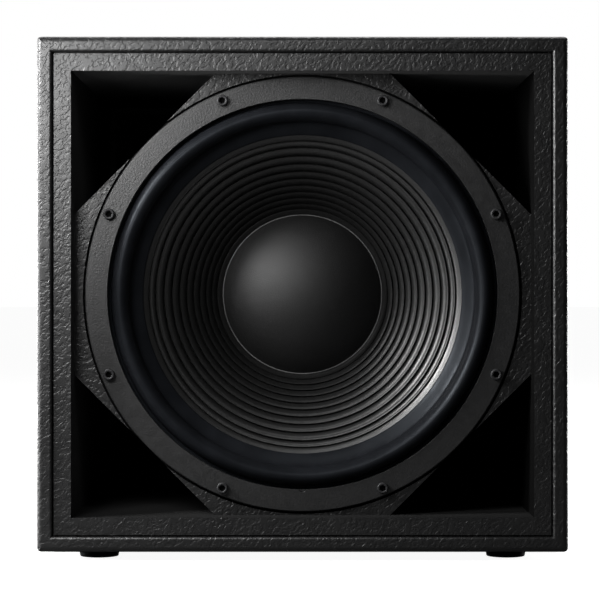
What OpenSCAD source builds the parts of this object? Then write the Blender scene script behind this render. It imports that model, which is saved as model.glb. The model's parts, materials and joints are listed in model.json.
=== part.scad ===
// Ported subwoofer with one cone driver and four triangular corner ports.
// The front of the box faces -Y and +Z is up. The origin is on the ground, under the middle of the box.

/* [Box] */
// Outside width
box_w = 468; // [460:1:500]
// Outside height, without the feet
box_h = 454; // [446:1:490]
// Outside depth
box_d = 520; // [500:5:600]
// Thickness of the outer panels
panel_t = 15; // [14:0.5:16]
// Thickness of the liner boards inside the outer panels
liner_t = 15; // [14:0.5:16]
// Rounding of the outer edges
edge_r = 5; // [2:0.5:6]
// Step from the front edge back to the front of the liner boards
rebate = 3; // [1:0.5:6]
// Width of the groove between the panels and the liner boards at the front
groove_w = 1.4; // [0.8:0.1:2]
// Rounding of the panels' front edges on the inside
inner_edge_r = 2.5; // [1:0.5:3]

/* [Baffle and ports] */
// Step from the front edge back to the baffle
baffle_recess = 30; // [26:1:36]
// Thickness of the baffle
baffle_t = 18; // [18:0.5:20]
// Depth of the counterbore that the driver sits in
counterbore_depth = 6; // [5:0.5:7]
// Distance from the driver's axis to each slanted corner
corner_cut = 194.6; // [194.4:0.1:196]
// Thickness of the slanted port boards
port_board_t = 12; // [9:0.5:12]
// Length of the corner ports
port_length = 380; // [340:10:400]

/* [Driver] */
// Outside radius of the driver's frame
driver_r = 194; // [193.5:0.1:194.5]
// Outside radius of the clamp ring
clamp_ring_r = 193.1; // [192.5:0.1:194]
// Inside radius of the clamp ring
ring_inner_r = 174; // [173.5:0.1:174.5]
// Radius of the circle that the screws stand on
screw_circle_r = 186.5; // [186:0.1:187]
// Number of driver screws
screw_count = 8; // [8]
// Outside radius of the half-roll
roll_outer_r = 171; // [170:0.5:171.5]
// Inside radius of the half-roll
roll_inner_r = 154.6; // [154:0.1:156]
// Height of the half-roll above its rim
roll_height = 13; // [8:0.5:14]
// Outside radius of the ribbed part of the cone
rib_outer_r = 138.3; // [138:0.1:140]
// Outside radius of the wide ribs, with one narrow rib outside them
wide_ribs_r = 132.8; // [132:0.1:135]
// Number of wide ribs on the cone
rib_count = 9; // [7:1:11]
// Height of the ribs from groove to crest, as a share of each rib's width
rib_height = 0.4; // [0.2:0.05:0.45]
// Radius of the dust cap
cap_r = 72.9; // [70:0.1:74]
// Height of the dust cap's dome
cap_rise = 28; // [20:1:32]
// Inside radius of the voice coil's former
former_r = 49.7; // [49.6:0.05:49.8]

/* [Feet, handles and sockets] */
// Height of the rubber feet
foot_h = 8.5; // [7:0.5:12]
// Radius of the feet where they meet the box
foot_r = 18.5; // [17:0.5:20]
// Distance of the feet from the middle, left and right
foot_x = 183; // [170:1:190]
// Distance of the feet from the middle, front and back
foot_y = 209; // [200:1:220]
// Width of the carrying recess along the box
handle_w = 150; // [130:5:150]
// Height of the carrying recess
handle_h = 92; // [86:1:92]
// Depth of the carrying recess
handle_d = 57; // [50:1:57]
// Radius of the hole for a 35 mm pole
pole_r = 17.8; // [17.6:0.1:18]
// Depth of the hole for the pole
pole_depth = 92; // [80:1:95]

/* [Hidden] */
$fn = 96;

// Clear past a face when something is cut through it
through = 1;
groove_depth = 8;

// Box, measured from its middle
axis_z = foot_h + box_h / 2;
front_y = -box_d / 2;
rear_y = box_d / 2;
inside_x = box_w / 2 - panel_t;
inside_z = box_h / 2 - panel_t;
open_x = inside_x - liner_t;
open_z = inside_z - liner_t;
baffle_y = front_y + baffle_recess;
baffle_back_y = baffle_y + baffle_t;
port_end_y = baffle_y + port_length;
rear_inside_y = rear_y - panel_t;

// Where the slanted corners cross the opening's edges
corner_reach = corner_cut * sqrt(2);
corner_x = corner_reach - open_z;
corner_z = corner_reach - open_x;
board_slant = port_board_t * sqrt(2);

// Brace between top and bottom, and the foam sheet behind it with a window round the sockets
brace_w = 80;
brace_y = 60;
foam_t = 20;
foam_window_w = 120;
foam_window_h = 84;

// Driver, along its axis from the counterbore's floor, forward positive
seat_y = baffle_y + counterbore_depth;
baffle_back_h = counterbore_depth - baffle_t;
cutout_r = 181;
counterbore_r = driver_r + 2;
gasket_t = 1;
flange_t = 5;
flange_top = gasket_t + flange_t;
ring_t = 3;
ring_top = flange_top + ring_t;
ring_notch_r = 2.7;
skirt_outer_r = 178;
basket_wall_r = 180.6;
basket_bore_r = 178.2;
seat_inner_r = 168;
rubber_t = 1.2;
roll_r = (roll_outer_r - roll_inner_r) / 2;
roll_mid_r = (roll_outer_r + roll_inner_r) / 2;
land_drop = 4;
land_inner_r = 143.2;
land_outer_r = roll_inner_r + rubber_t;
cone_rim_r = 153;
cone_edge_h = -land_drop - rubber_t;
paper_t = 1.5;
cone_slope = 0.6;
neck_r = former_r + 0.35;
rib_inner_r = 78.2;
rib_growth = 1.05;
rib_first = (wide_ribs_r - rib_inner_r) * (rib_growth - 1) / (pow(rib_growth, rib_count) - 1);
rib_depth = 1.3;
groove_lip = 0.8;
// Outline of a rib, as shares of its width and height: steep inside, rounded, flatter outside
rib_outline = [[0, 0], [0.08, 0.47], [0.2, 0.85], [0.42, 1], [0.6, 0.9], [0.82, 0.64], [0.93, 0.37]];
cap_seat_h = cone_edge_h - (roll_inner_r - cap_r) * cone_slope;
cap_t = 1.2;
former_t = 0.3;
former_top = -62;
coil_low = -115;
coil_high = -95;
coil_t = 1;
spider_t = 0.8;
spider_inner_r = former_r + former_t + 0.3;
spider_flat_r = 56;
spider_waves = 5;
spider_points = 40;
spider_cup = 5;
spider_wave_h = 1.5;
floor_h = -94;
floor_t = 6;
pot_r = 96;
pot_inner_r = 86;
pot_top = -78;
spoke_w = 16;
spoke_count = 8;
plate_bore_r = 51.6;
top_plate_r = 88;
top_plate_t = 10;
magnet_r = 100;
magnet_bore_r = 58;
magnet_t = 20;
back_plate_r = 94;
back_plate_t = 12;
pole_piece_r = 49.2;
top_plate_h = floor_h - floor_t;
magnet_h = top_plate_h - top_plate_t;
back_plate_h = magnet_h - magnet_t;
pole_piece_top = top_plate_h + 3;
vent_r = 16;
motor_circle_r = 70;
motor_screw_count = 4;

// Fasteners
m6_r = 3;
m6_hole_r = 3.3;
m6_head_r = 5;
m6_head_h = 6;
m6_hex_r = 5 / sqrt(3);
m5_r = 2.5;
m5_hole_r = 2.7;
m5_head_r = 4.25;
m5_head_h = 5;
wood_screw_r = 2;
wood_hole_r = 2.2;
wood_head_r = 3.8;
wood_head_h = 2.2;
wood_screw_l = 11;
wood_clear_r = 2.3;
cross_slot = 0.5;
tee_barrel_r = 4.1;
tee_flange_r = 9;
tee_flange_t = 1.5;
tee_barrel_l = 9.5;

foot_edge = 2;
foot_bore_r = 2.8;
foot_screw_r = 2.4;
foot_head_r = 4.6;
foot_head_h = 2.4;
washer_r = 7.5;
washer_t = 1.2;
washer_z = 3.3;

// Fittings are let into the panels, so that nothing stands proud of the box
fitting_recess = 5.5;
flange_plate_t = 3;
fitting_gap = 1;

// Terminal board, turned round the driver's axis to a gap between two spokes
terminal_turn = -67.5;
terminal_r = 97.5;
terminal_w = 36;
terminal_board_t = 2.5;
lead_side = 10;
lead_r = 1;
wire_r = 1.6;
wire_pair = 4;

// Handles
handle_y = 0;
handle_flange_w = handle_w + 32;
handle_flange_h = handle_h + 30;
handle_corner_r = 18;
handle_wall = 3;
grip_r = 11;
grip_z = 18;
grip_inset = 16;
handle_screw_y = handle_flange_w / 2 - 9;
handle_screw_z = handle_flange_h / 2 - 8;

// Pole socket
pole_tube_r = pole_r + 2.7;
pole_flange_r = 50;
pole_screw_circle_r = 40;
pole_screw_count = 6;
weld_gap = 0.05;

// Input plate
plate_w = 104;
plate_h = 78;
plate_t = 2;
plate_z = -105;
plate_recess = 5;
plate_gasket_t = 0.8;
plate_cut_w = 84;
plate_cut_h = 56;
plate_screw_x = 45;
plate_screw_z = 32;
plate_y = rear_y - plate_recess + plate_gasket_t;
socket_x = 24;
socket_flange_w = 26;
socket_flange_h = 31;
socket_flange_t = 2;
socket_barrel_r = 11.8;
socket_barrel_l = 23;
socket_mouth_r = 10.4;
socket_hub_r = 5.5;
socket_mouth_d = 12;
tab_x = 5;
tab_l = 6;
tab_end_y = plate_y + plate_t - socket_barrel_l - tab_l;
socket_screw_x = 9.3;
socket_screw_z = 12;
m3_r = 1.5;
m3_hole_r = 1.65;
m3_head_r = 2.7;
m3_screw_l = 9;

black_paint = [0.10, 0.10, 0.11];
bare_wood = [0.62, 0.50, 0.34];
black_rubber = [0.09, 0.09, 0.10];
black_steel = [0.14, 0.14, 0.15];
bright_steel = [0.60, 0.61, 0.63];

// ---- shared shapes ----

module at_middle() {
    translate([0, 0, axis_z]) children();
}

// Local +Z points out of the front, local +Y points up, and zero is the counterbore's floor.
module on_driver_axis() {
    translate([0, seat_y, 0]) rotate([90, 0, 0]) children();
}

module block(low, high) {
    translate(low) cube(high - low);
}

// Extrudes an outline drawn in X and Z along Y.
module along_y(low, high) {
    translate([0, high, 0]) rotate([90, 0, 0]) linear_extrude(high - low) children();
}

module rounded_rect(w, h, r) {
    square([w - 2 * r, h], center = true);
    square([w, h - 2 * r], center = true);
    for (sx = [-1, 1], sy = [-1, 1])
        translate([sx * (w / 2 - r), sy * (h / 2 - r)]) circle(r);
}

module tube(outer_r, inner_r, low, high) {
    translate([0, 0, low]) difference() {
        cylinder(h = high - low, r = outer_r);
        translate([0, 0, -through]) cylinder(h = high - low + 2 * through, r = inner_r);
    }
}

module rod(r, low, high) {
    translate([0, 0, low]) cylinder(h = high - low, r = r);
}

module on_circle(r, count, first = 0) {
    for (k = [0 : count - 1]) rotate([0, 0, first + k * 360 / count]) translate([r, 0, 0]) children();
}

// Smooth curve through a list of points, steps to each stretch.
function between(a, b, c, d, t) =
    0.5 * (2 * b + (c - a) * t + (2 * a - 5 * b + 4 * c - d) * t * t + (3 * b - 3 * c + d - a) * t * t * t);
function smooth_route(p, steps) = [
    for (i = [0 : len(p) - 2], s = [0 : steps - 1])
        between(p[max(i - 1, 0)], p[i], p[i + 1], p[min(i + 2, len(p) - 1)], s / steps),
    p[len(p) - 1]
];
function unit(v) = v / norm(v);

// A round tube of eight sides swept along a route that never runs straight up.
module swept_tube(route, r) {
    sides = 8;
    n = len(route);
    points = [
        for (i = [0 : n - 1])
            let (
                ahead = unit(route[min(i + 1, n - 1)] - route[max(i - 1, 0)]),
                side = unit(cross([0, 0, 1], ahead)),
                up = cross(ahead, side)
            )
            for (k = [0 : sides - 1])
                route[i] + r * (cos(k * 360 / sides) * side + sin(k * 360 / sides) * up)
    ];
    walls = [
        for (i = [0 : n - 2], k = [0 : sides - 1])
            let (a = i * sides + k, b = i * sides + (k + 1) % sides)
            [a, a + sides, b + sides, b]
    ];
    start_cap = [for (k = [0 : sides - 1]) k];
    end_cap = [for (k = [sides - 1 : -1 : 0]) (n - 1) * sides + k];
    polyhedron(points, concat([start_cap, end_cap], walls));
}

// ---- box ----

module box_envelope() {
    intersection() {
        along_y(front_y, rear_y) rounded_rect(box_w, box_h, edge_r);
        rotate([0, 90, 0]) linear_extrude(box_w, center = true) rounded_rect(box_h, box_d, edge_r);
        linear_extrude(box_h, center = true) rounded_rect(box_w, box_d, edge_r);
    }
}

// Outline in X and Y of the front opening: straight sides that round over to the front edge.
module opening_profile(half) {
    translate([-half, front_y - through]) square([2 * half, rebate + groove_depth + through]);
    difference() {
        translate([-half - inner_edge_r, front_y - through])
            square([2 * (half + inner_edge_r), inner_edge_r + through]);
        for (s = [-1, 1]) translate([s * (half + inner_edge_r), front_y + inner_edge_r]) circle(inner_edge_r);
    }
}

// Space in front of the liner boards, with the groove round them and mitred round-overs.
module front_opening() {
    intersection() {
        linear_extrude(box_h, center = true) opening_profile(inside_x + groove_w);
        rotate([0, 90, 0]) linear_extrude(box_w, center = true) opening_profile(inside_z + groove_w);
    }
}

module outer_panel(low, high) {
    difference() {
        intersection() {
            block(low, high);
            box_envelope();
        }
        front_opening();
    }
}

module pole_hole() {
    rod(pole_tube_r + fitting_gap, 0, box_h);
    rod(pole_flange_r + fitting_gap, box_h / 2 - fitting_recess, box_h);
    on_circle(pole_screw_circle_r, pole_screw_count) rod(wood_hole_r, open_z - through, box_h);
}

module foot_holes() {
    for (sx = [-1, 1], sy = [-1, 1])
        translate([sx * foot_x, sy * foot_y, -box_h / 2 - through]) rod(wood_hole_r + 0.4, 0, panel_t - 1);
}

module handle_outline(extra, corner) {
    rounded_rect(handle_h + extra, handle_w + extra, corner);
}

module handle_hole() {
    for (sx = [-1, 1]) {
        translate([sx * box_w / 2, handle_y, 0]) rotate([0, sx * 90, 0]) {
            linear_extrude(box_w / 2, center = true)
                handle_outline(2 * fitting_gap, handle_corner_r + fitting_gap);
            linear_extrude(2 * fitting_recess, center = true)
                rounded_rect(handle_flange_h + fitting_gap, handle_flange_w + fitting_gap, handle_corner_r);
        }
        handle_screw_places(sx) rod(wood_hole_r, -fitting_recess - panel_t, through);
    }
}

// Puts a screw axis at each corner of one handle's flange, pointing out of the box.
module handle_screw_places(side) {
    for (sy = [-1, 1], sz = [-1, 1])
        translate([side * box_w / 2, handle_y + sy * handle_screw_y, sz * handle_screw_z])
            rotate([0, side * 90, 0]) children();
}

module top_panel() {
    color(black_paint) at_middle() difference() {
        outer_panel([-box_w / 2, front_y, inside_z], [box_w / 2, rear_y, box_h / 2]);
        pole_hole();
    }
}

module bottom_panel() {
    color(black_paint) at_middle() difference() {
        outer_panel([-box_w / 2, front_y, -box_h / 2], [box_w / 2, rear_y, -inside_z]);
        foot_holes();
    }
}

module side_panel(side) {
    low_x = side > 0 ? inside_x : -box_w / 2;
    color(black_paint) at_middle() difference() {
        outer_panel([low_x, front_y, -inside_z], [low_x + panel_t, rear_y, inside_z]);
        handle_hole();
    }
}

module rear_panel() {
    color(black_paint) at_middle() difference() {
        outer_panel([-inside_x, rear_inside_y, -inside_z], [inside_x, rear_y, inside_z]);
        translate([0, 0, plate_z]) {
            along_y(rear_y - plate_recess, rear_y + through)
                rounded_rect(plate_w + fitting_gap, plate_h + fitting_gap, 3);
            along_y(rear_inside_y - through, rear_y) rounded_rect(plate_cut_w, plate_cut_h, 6);
        }
        plate_screw_places() rod(wood_hole_r - 0.1, -wood_screw_l - 2, through);
    }
}

module level_liner(low_z) {
    color(black_paint) at_middle() difference() {
        block([-inside_x, front_y + rebate, low_z], [inside_x, port_end_y, low_z + liner_t]);
        pole_hole();
    }
}

module upright_liner(side) {
    low_x = side > 0 ? open_x : -inside_x;
    color(black_paint) at_middle() difference() {
        block([low_x, front_y + rebate, -open_z], [low_x + liner_t, port_end_y, open_z]);
        handle_hole();
    }
}

module baffle() {
    color(black_paint) at_middle() difference() {
        along_y(baffle_y, baffle_back_y) polygon([
            [corner_x, open_z], [open_x, corner_z], [open_x, -corner_z], [corner_x, -open_z],
            [-corner_x, -open_z], [-open_x, -corner_z], [-open_x, corner_z], [-corner_x, open_z]
        ]);
        on_driver_axis() {
            rod(cutout_r, baffle_back_h - through, baffle_t);
            rod(counterbore_r, 0, baffle_t);
            driver_screw_places() rod(m6_hole_r, baffle_back_h - through, through);
            driver_screw_places()
                rod(tee_barrel_r + 0.1, baffle_back_h - through, baffle_back_h + tee_barrel_l + 0.5);
        }
    }
}

module port_board(sx, sz) {
    color(black_paint) at_middle() along_y(baffle_back_y, port_end_y) polygon([
        [sx * corner_x, sz * open_z],
        [sx * open_x, sz * corner_z],
        [sx * open_x, sz * (corner_z - board_slant)],
        [sx * (corner_x - board_slant), sz * open_z]
    ]);
}

module cross_brace() {
    color(bare_wood) at_middle()
        block([-brace_w / 2, brace_y, -open_z], [brace_w / 2, brace_y + panel_t, open_z]);
}

module rear_foam() {
    color([0.2, 0.2, 0.22]) at_middle() difference() {
        block([-open_x, rear_inside_y - foam_t, -open_z], [open_x, rear_inside_y, open_z]);
        block(
            [-foam_window_w / 2, rear_inside_y - foam_t - through, plate_z - foam_window_h / 2],
            [foam_window_w / 2, rear_inside_y + through, plate_z + foam_window_h / 2]
        );
    }
}

// ---- feet ----

module foot(sx, sy) {
    color(black_rubber) translate([sx * foot_x, sy * foot_y, 0]) difference() {
        union() {
            rod(foot_r, foot_edge, foot_h);
            cylinder(h = foot_edge, r1 = foot_r - 1.3, r2 = foot_r);
        }
        rod(foot_bore_r, -through, foot_h + through);
        rod(washer_r + 0.5, -through, washer_z + washer_t);
    }
}

// Two crossed slots for a screwdriver.
module cross_recess(reach, low, high) {
    block([-reach, -cross_slot, low], [reach, cross_slot, high]);
    block([-cross_slot, -reach, low], [cross_slot, reach, high]);
}

module foot_places() {
    for (sx = [-1, 1], sy = [-1, 1]) translate([sx * foot_x, sy * foot_y, 0]) children();
}

module foot_washers() {
    color(bright_steel) foot_places() tube(washer_r, foot_bore_r - 0.1, washer_z, washer_z + washer_t);
}

module foot_screws() {
    color(black_steel) foot_places() {
        rod(foot_screw_r, washer_z, foot_h + wood_screw_l);
        difference() {
            rod(foot_head_r, washer_z - foot_head_h, washer_z);
            cross_recess(3, washer_z - foot_head_h - through, washer_z - 1.1);
        }
    }
}

// ---- input plate ----

// Puts a screw axis at each corner of the input plate, from its outer face out of the back.
module plate_screw_places() {
    for (sx = [-1, 1], sz = [-1, 1])
        on_plate(sx * plate_screw_x, sz * plate_screw_z) children();
}

module on_plate(x, z) {
    translate([x, plate_y + plate_t, plate_z + z]) rotate([-90, 0, 0]) children();
}

module socket_places() {
    for (sx = [-1, 1]) on_plate(sx * socket_x, 0) children();
}

// Puts a screw axis at two opposite corners of one socket's flange.
module socket_screw_corners() {
    for (s = [-1, 1]) translate([s * socket_screw_x, s * socket_screw_z, 0]) children();
}

module input_plate() {
    color(black_steel) at_middle() difference() {
        translate([0, 0, plate_z]) along_y(plate_y, plate_y + plate_t) rounded_rect(plate_w, plate_h, 2.5);
        plate_screw_places() rod(wood_clear_r, -plate_t - through, through);
        socket_places() rod(socket_barrel_r + 0.2, -plate_t - through, through);
        socket_places() socket_screw_corners() rod(m3_hole_r, -plate_t - through, through);
    }
}

module input_plate_gasket() {
    color(black_rubber) at_middle() difference() {
        translate([0, 0, plate_z])
            along_y(rear_y - plate_recess, plate_y) rounded_rect(plate_w, plate_h, 2.5);
        translate([0, 0, plate_z])
            along_y(rear_inside_y, rear_y) rounded_rect(plate_cut_w, plate_cut_h, 6);
        plate_screw_places() rod(wood_clear_r, -plate_t - panel_t, through);
    }
}

module input_plate_screws() {
    color(black_steel) at_middle() plate_screw_places() {
        rod(wood_screw_r, -wood_screw_l, 0);
        difference() {
            rod(wood_head_r, 0, 2);
            cross_recess(2.4, 0.8, 3);
        }
    }
}

// Four-pole locking speaker socket: a round mouth with a keyed ring round a hub.
module speaker_socket() {
    difference() {
        union() {
            linear_extrude(socket_flange_t) rounded_rect(socket_flange_w, socket_flange_h, 3);
            rod(socket_barrel_r, -socket_barrel_l, socket_flange_t);
            for (s = [-1, 1])
                translate([s * tab_x, 0, -socket_barrel_l]) block([-1.2, -3, -tab_l], [1.2, 3, 0]);
        }
        tube(socket_mouth_r, socket_hub_r, socket_flange_t - socket_mouth_d, socket_flange_t + through);
        for (turn = [45, 225]) rotate([0, 0, turn]) translate([socket_mouth_r, 0, socket_flange_t])
            block([-1, -1.4, -9], [1, 1.4, through]);
        rod(2, socket_flange_t - 8, socket_flange_t + through);
        socket_screw_corners() rod(m3_hole_r, -through, socket_flange_t + through);
        socket_screw_corners() translate([0, 0, 0.7])
            cylinder(h = 1.4, r1 = m3_hole_r, r2 = m3_head_r + 0.2);
    }
}

module one_socket(side) {
    color([0.13, 0.16, 0.26]) at_middle()
        on_plate(side * socket_x, 0) speaker_socket();
}

module socket_screws() {
    color(black_steel) at_middle() socket_places() socket_screw_corners() difference() {
        union() {
            rod(m3_r, -m3_screw_l, 0.8);
            translate([0, 0, 0.75]) cylinder(h = 1.2, r1 = m3_r, r2 = m3_head_r);
        }
        cross_recess(1.8, 1.3, 2.5);
    }
}

// Two bridges that join the poles of the two sockets, on the lower half of the tabs.
module link_wires() {
    color([0.6, 0.1, 0.1]) at_middle() for (s = [-1, 1])
        translate([0, tab_end_y, plate_z - wire_r - 0.1]) rotate([0, 0, 180])
            rotate_extrude(angle = 180) translate([socket_x + s * tab_x, 0]) circle(wire_r, $fn = 24);
}

// ---- wires inside the box ----

// From a terminal tab at the driver, round the brace, to the upper half of a tab on the link socket.
module input_wire(side) {
    tab_r = terminal_r + 9;
    shift = side * wire_pair;
    tab = [
        tab_r * cos(terminal_turn) - side * lead_side * sin(terminal_turn),
        seat_y + 99,
        tab_r * sin(terminal_turn) + side * lead_side * cos(terminal_turn)
    ];
    end = [socket_x + side * tab_x, tab_end_y - 0.5, plate_z + wire_r + 0.7];
    route = [
        tab,
        [tab[0] + 2, tab[1] + 14, tab[2] - 4],
        [50 + shift, -70, -126],
        [58 + shift, 0, -150],
        [60 + shift, 70, -154],
        [52 + shift, 130, -136],
        [38 + shift, 185, end[2] + 8],
        [end[0], tab_end_y - 10, end[2]],
        end
    ];
    at_middle() swept_tube(smooth_route(route, 4), wire_r);
}

// ---- handles ----

module handle_cup(side) {
    color(black_steel) at_middle()
        translate([side * (box_w / 2 - fitting_recess), handle_y, 0]) rotate([0, side * 90, 0]) difference() {
            union() {
                linear_extrude(flange_plate_t)
                    rounded_rect(handle_flange_h, handle_flange_w, handle_corner_r - 1);
                translate([0, 0, -handle_d]) linear_extrude(handle_d) handle_outline(0, handle_corner_r);
            }
            translate([0, 0, handle_wall - handle_d]) linear_extrude(handle_d + flange_plate_t)
                handle_outline(-2 * handle_wall, handle_corner_r - handle_wall);
            for (sy = [-1, 1], sz = [-1, 1]) translate([sz * handle_screw_z, sy * handle_screw_y, 0])
                rod(wood_clear_r, -through, flange_plate_t + through);
        }
}

module handle_grip(side) {
    color(black_rubber) at_middle()
        translate([side * (box_w / 2 - grip_inset), handle_y, grip_z]) rotate([90, 0, 0])
            cylinder(h = handle_w - 2 * handle_wall, r = grip_r, center = true);
}

module handle_screws() {
    color(black_steel) at_middle() for (side = [-1, 1]) handle_screw_places(side) panel_screw();
}

// Pan-head wood screw through a recessed flange, measured from the panel's outer face.
module panel_screw() {
    head_low = flange_plate_t - fitting_recess;
    rod(wood_screw_r, head_low - wood_screw_l, head_low);
    difference() {
        rod(wood_head_r, head_low, head_low + wood_head_h);
        cross_recess(2.4, head_low + 1, head_low + 3);
    }
}

// ---- pole socket ----

// Tube closed at the bottom, so that the box stays airtight, welded into a flat flange.
module pole_socket_tube() {
    color(black_steel) at_middle() translate([0, 0, box_h / 2 - fitting_recess]) difference() {
        rod(pole_tube_r, flange_plate_t - pole_depth - 3, flange_plate_t);
        rod(pole_r, flange_plate_t - pole_depth, flange_plate_t + through);
    }
}

module pole_socket_flange() {
    color(black_steel) at_middle() translate([0, 0, box_h / 2 - fitting_recess]) difference() {
        tube(pole_flange_r, pole_tube_r + weld_gap, 0, flange_plate_t);
        on_circle(pole_screw_circle_r, pole_screw_count)
            rod(wood_clear_r, -through, flange_plate_t + through);
    }
}

module pole_socket_screws() {
    color(black_steel) at_middle() translate([0, 0, box_h / 2])
        on_circle(pole_screw_circle_r, pole_screw_count) panel_screw();
}

// ---- driver ----

module driver_screw_places() {
    on_circle(screw_circle_r, screw_count, 180 / screw_count) children();
}

module motor_screw_places() {
    on_circle(motor_circle_r, motor_screw_count, 45) children();
}

module driver_basket() {
    color(black_steel) at_middle() on_driver_axis() difference() {
        union() {
            tube(driver_r, basket_bore_r, gasket_t, flange_top);
            tube(basket_wall_r, basket_bore_r, -rubber_t - 4, flange_top);
            tube(basket_wall_r, seat_inner_r, -rubber_t - 4, -rubber_t);
            tube(pot_r, plate_bore_r + 3, floor_h - floor_t, floor_h);
            tube(pot_r, pot_inner_r, floor_h - 1, pot_top);
            for (k = [0 : spoke_count - 1]) rotate([0, 0, k * 360 / spoke_count]) spoke();
            rotate([0, 0, terminal_turn])
                block([pot_r - 6, -terminal_w / 2, floor_h - 3], [terminal_r, terminal_w / 2, pot_top - 2]);
        }
        driver_screw_places() rod(m6_hole_r, 0, flange_top + through);
        motor_screw_places() rod(m5_hole_r, floor_h - floor_t - through, floor_h + through);
    }
}

module spoke() {
    rotate([90, 0, 0]) linear_extrude(spoke_w, center = true) polygon([
        [seat_inner_r + 1, -rubber_t - 2], [basket_wall_r - 1, -rubber_t - 2], [basket_wall_r - 1, -24],
        [104, floor_h - 3], [pot_r - 4, floor_h - 3], [pot_r - 4, floor_h + 8],
        [158, -26], [seat_inner_r + 1, -14]
    ]);
}

module driver_gasket() {
    color(black_rubber) at_middle() on_driver_axis() difference() {
        tube(driver_r, cutout_r, 0, gasket_t);
        driver_screw_places() rod(m6_hole_r, -through, gasket_t + through);
    }
}

// Flat ring with a skirt inside that holds the surround's rim down, notched at the bottom.
module driver_clamp_ring() {
    color([0.22, 0.22, 0.23]) at_middle() on_driver_axis() difference() {
        union() {
            tube(clamp_ring_r, ring_inner_r, flange_top, ring_top);
            tube(skirt_outer_r, ring_inner_r, 0, ring_top - 1);
        }
        driver_screw_places() rod(m6_hole_r, flange_top - through, ring_top + through);
        translate([0, -ring_inner_r, 0]) rod(ring_notch_r, flange_top + 0.5, ring_top + through);
    }
}

module driver_screws() {
    color(black_steel) at_middle() on_driver_axis() driver_screw_places() {
        rod(m6_r, baffle_back_h - 2, ring_top);
        difference() {
            rod(m6_head_r, ring_top, ring_top + m6_head_h);
            translate([0, 0, ring_top + 3]) cylinder(h = m6_head_h, r = m6_hex_r, $fn = 6);
        }
    }
}

module driver_tee_nuts() {
    color(bright_steel) at_middle() on_driver_axis() driver_screw_places() difference() {
        union() {
            rod(tee_barrel_r, baffle_back_h, baffle_back_h + tee_barrel_l);
            rod(tee_flange_r, baffle_back_h - tee_flange_t, baffle_back_h);
        }
        rod(m6_r + 0.1, baffle_back_h - tee_flange_t - through, baffle_back_h + tee_barrel_l + through);
    }
}

// Ellipse of one face of the half-roll, which is taller than it is wide.
module roll_outline(half_width, height) {
    translate([roll_mid_r, 0]) scale([1, height / half_width]) circle(half_width);
}

// Half-roll with a rim clamped at its outside and a land glued to the cone at its inside.
module surround() {
    color(black_rubber) at_middle() on_driver_axis() rotate_extrude() {
        difference() {
            roll_outline(roll_r, roll_height);
            roll_outline(roll_r - rubber_t, roll_height - rubber_t);
            translate([0, -2 * roll_height]) square([2 * driver_r, 2 * roll_height]);
        }
        translate([roll_outer_r - rubber_t, -rubber_t])
            square([skirt_outer_r - roll_outer_r + rubber_t, rubber_t]);
        translate([roll_inner_r, -land_drop]) square([rubber_t, land_drop]);
        polygon([
            for (end = [
                [land_inner_r, 0], [land_outer_r, 0], [land_outer_r, rubber_t], [land_inner_r, rubber_t]
            ])
                [end[0], slope_h(end[0]) + end[1]]
        ]);
    }
}

// Height of the cone's plain slope, and the radius of each groove between its ribs.
function slope_h(r) = cone_edge_h - (roll_inner_r - r) * cone_slope;
function groove_r(k) =
    k > rib_count ? rib_outer_r : rib_inner_r + rib_first * (pow(rib_growth, k) - 1) / (rib_growth - 1);
function rib_line(drop) = [
    for (k = [0 : rib_count])
        let (low_r = groove_r(k), width = groove_r(k + 1) - low_r)
        for (point = rib_outline)
            let (r = low_r + width * point[0])
            [r, slope_h(r) - drop - rib_depth + rib_height * width * point[1]]
];
function cone_line(drop) = concat(
    [for (r = [neck_r, rib_inner_r - groove_lip]) [r, slope_h(r) - drop]],
    rib_line(drop),
    [[rib_outer_r, slope_h(rib_outer_r) - drop - rib_depth]],
    [for (r = [rib_outer_r + groove_lip, cone_rim_r]) [r, slope_h(r) - drop]]
);
function reversed(list) = [for (i = [len(list) - 1 : -1 : 0]) list[i]];

module cone() {
    color([0.13, 0.13, 0.14]) at_middle() on_driver_axis()
        rotate_extrude() polygon(concat(cone_line(0), reversed(cone_line(paper_t))));
}

module dust_cap() {
    dome_r = (cap_r * cap_r + cap_rise * cap_rise) / (2 * cap_rise);
    base = cap_seat_h + 0.1;
    color([0.12, 0.12, 0.13]) at_middle() on_driver_axis() intersection() {
        translate([0, 0, base + cap_rise - dome_r]) difference() {
            sphere(dome_r);
            sphere(dome_r - cap_t);
        }
        rod(cap_r, base, base + cap_rise + through);
    }
}

module voice_coil_former() {
    color([0.75, 0.6, 0.35]) at_middle() on_driver_axis()
        tube(former_r + former_t, former_r, coil_low, former_top);
}

module voice_coil() {
    color([0.72, 0.42, 0.2]) at_middle() on_driver_axis()
        tube(former_r + former_t + coil_t, former_r + former_t + 0.02, coil_low, coil_high);
}

// Corrugated cloth disc, cupped so that its collar on the former stands above its rim.
function spider_h(s) = pot_top + spider_cup * (1 - s) + spider_wave_h * sin(s * spider_waves * 360);
function spider_line(lift) = concat(
    [[spider_inner_r, spider_h(0) + lift]],
    [
        for (i = [0 : spider_points])
            let (s = i / spider_points)
            [spider_flat_r + (pot_inner_r - spider_flat_r) * s, spider_h(s) + lift]
    ],
    [[pot_r - 1, pot_top + lift]]
);

module spider() {
    color([0.7, 0.55, 0.25]) at_middle() on_driver_axis()
        rotate_extrude() polygon(concat(spider_line(0), reversed(spider_line(spider_t))));
}

module motor_screws() {
    color(black_steel) at_middle() on_driver_axis() motor_screw_places() {
        rod(m5_r, magnet_h + 2, floor_h);
        difference() {
            rod(m5_head_r, floor_h, floor_h + m5_head_h);
            translate([0, 0, floor_h + 2.5]) cylinder(h = m5_head_h, r = 4 / sqrt(3), $fn = 6);
        }
    }
}

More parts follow.
